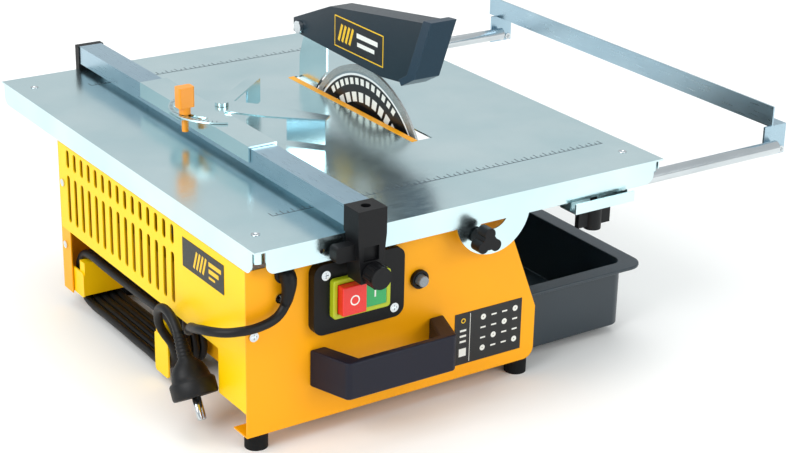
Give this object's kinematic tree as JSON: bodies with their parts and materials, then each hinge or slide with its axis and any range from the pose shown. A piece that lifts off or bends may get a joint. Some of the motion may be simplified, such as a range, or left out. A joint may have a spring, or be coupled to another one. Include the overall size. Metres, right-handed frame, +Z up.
{
  "type": "wet tile saw",
  "caption": "Bench wet tile saw with tilting steel table, rip fence with mitre guide, guarded diamond blade, pull-out water tray and side extension.",
  "frame": {"origin": "centre of the footprint of the machine's box without its cord, on the bench", "axes": "+X to the user's right, -Y is the front with the switch, +Z up"},
  "size_m": [0.592, 0.5182, 0.291],
  "materials": {
    "zinc_steel": "bright zinc-plated sheet",
    "cabinet_paint": "glossy yellow powder coat",
    "yellow_strip": "gloss",
    "fence_aluminium": "satin anodised",
    "bright_steel": "bright plated",
    "cast_aluminium": "as cast, painted grey",
    "black_plastic": "moulded, fine texture",
    "tray_plastic": "vacuum formed, satin gloss",
    "guard_plastic": "moulded, satin gloss",
    "lime_plastic": "gloss",
    "red_plastic": "gloss",
    "green_plastic": "gloss",
    "orange_plastic": "gloss",
    "clear_plastic": "translucent",
    "rubber": "matt",
    "cord_rubber": "satin jacket",
    "label": "printed film",
    "blade_core": "printed steel core",
    "diamond_rim": "sintered rim"
  },
  "bodies": {
    "root": {"front_panel": "cabinet_paint", "rear_panel": "cabinet_paint", "side_grille": "cabinet_paint", "recess_wall": "cabinet_paint", "cord_hooks": "cabinet_paint", "rubber_feet": "rubber", "motor_bulkhead": "zinc_steel", "tray_rails": "zinc_steel", "cabinet_screws": "bright_steel", "switch_plate": "black_plastic", "switch_bezel": "lime_plastic", "switch_body": "black_plastic", "reset_ring": "black_plastic", "carry_handle": "black_plastic", "rating_label": "label", "side_label": "label", "cable_gland": "black_plastic", "cord_lead": "cord_rubber", "plug_lead": "cord_rubber", "cord_hank": "cord_rubber", "plug": "cord_rubber", "motor_housing": "cast_aluminium", "motor_end_cap": "cast_aluminium", "stator": "cast_aluminium", "shaft_bearings": "bright_steel", "capacitor": "zinc_steel", "riving_knife": "zinc_steel", "knife_bracket": "zinc_steel", "hinge_pins": "bright_steel", "tilt_lock_bolt": "bright_steel", "guard_bolt": "bright_steel"},
    "table": {"table_top": "zinc_steel", "slot_strip": "yellow_strip", "hinge_lugs": "zinc_steel", "tilt_quadrant": "zinc_steel", "extension_clamps": "zinc_steel"},
    "extension": {"extension_tubes": "bright_steel", "extension_angle": "fence_aluminium", "strap_screws": "bright_steel"},
    "spindle": {"rotor_shaft": "bright_steel", "cooling_fan": "black_plastic", "blade_flanges": "bright_steel", "blade": "blade_core", "blade_rim": "diamond_rim", "arbor_nut": "bright_steel"},
    "guard": {"blade_guard": "guard_plastic", "guard_lip": "guard_plastic"},
    "tray": {"water_tray": "tray_plastic"},
    "tilt_lock": {"tilt_knob": "black_plastic"},
    "stop": {"stop_button": "red_plastic"},
    "start": {"start_button": "green_plastic"},
    "reset": {"reset_button": "clear_plastic"},
    "front_clamp": {"front_clamp_knob": "black_plastic"},
    "rear_clamp": {"rear_clamp_knob": "black_plastic"},
    "fence": {"fence_rail": "fence_aluminium", "fence_clamps": "black_plastic"},
    "fence_lock": {"fence_knob": "black_plastic"},
    "sled": {"mitre_sled": "zinc_steel"},
    "mitre": {"mitre_plate": "zinc_steel"},
    "mitre_lock": {"mitre_knob": "orange_plastic"}
  },
  "joints": [
    {"name": "table_tilt", "type": "hinge", "parent": "root", "child": "table", "pos_m": [-0.0575, 0.0125, 0.166], "axis": [0, 1, 0], "range_deg": [0, 25]},
    {"name": "extension_slide", "type": "slide", "parent": "table", "child": "extension", "axis": [1, 0, 0], "range_m": [-0.125, 0.015]},
    {"name": "spindle_spin", "type": "hinge", "parent": "root", "child": "spindle", "pos_m": [-0.0295, 0.009, 0.118], "axis": [1, 0, 0], "continuous": true},
    {"name": "guard_swing", "type": "hinge", "parent": "root", "child": "guard", "pos_m": [-0.0295, 0.1045, 0.234], "axis": [1, 0, 0], "range_deg": [-30, 6]},
    {"name": "tray_slide", "type": "slide", "parent": "root", "child": "tray", "axis": [1, 0, 0], "range_m": [-0.085, 0.04]},
    {"name": "tilt_lock_turn", "type": "hinge", "parent": "root", "child": "tilt_lock", "pos_m": [-0.07447, -0.2375, 0.14903], "axis": [0, 1, 0], "range_deg": [-180, 0]},
    {"name": "stop_press", "type": "slide", "parent": "root", "child": "stop", "axis": [0, 1, 0], "range_m": [0, 0.004], "stiffness_N_per_m": 400},
    {"name": "start_press", "type": "slide", "parent": "root", "child": "start", "axis": [0, 1, 0], "range_m": [0, 0.0008], "stiffness_N_per_m": 400},
    {"name": "reset_press", "type": "slide", "parent": "root", "child": "reset", "axis": [0, 1, 0], "range_m": [0, 0.003], "stiffness_N_per_m": 400},
    {"name": "front_clamp_turn", "type": "hinge", "parent": "table", "child": "front_clamp", "pos_m": [0.053, -0.2174, 0.13], "axis": [0, 0, 1], "range_deg": [0, 180]},
    {"name": "rear_clamp_turn", "type": "hinge", "parent": "table", "child": "rear_clamp", "pos_m": [0.053, 0.1945, 0.13], "axis": [0, 0, 1], "range_deg": [0, 180]},
    {"name": "fence_slide", "type": "slide", "parent": "table", "child": "fence", "axis": [1, 0, 0], "range_m": [-0.07, 0.024]},
    {"name": "fence_lock_turn", "type": "hinge", "parent": "fence", "child": "fence_lock", "pos_m": [-0.1875, -0.2475, 0.149], "axis": [0, 1, 0], "range_deg": [-180, 0]},
    {"name": "sled_slide", "type": "slide", "parent": "fence", "child": "sled", "axis": [0, 1, 0], "range_m": [-0.14, 0.128]},
    {"name": "mitre_turn", "type": "hinge", "parent": "sled", "child": "mitre", "pos_m": [-0.1715, 0.0205, 0.203], "axis": [0, 0, 1], "range_deg": [-30, 30]},
    {"name": "mitre_lock_turn", "type": "hinge", "parent": "sled", "child": "mitre_lock", "pos_m": [-0.20929, 0.01653, 0.21], "axis": [0, 0, 1], "range_deg": [0, 180]}
  ]
}
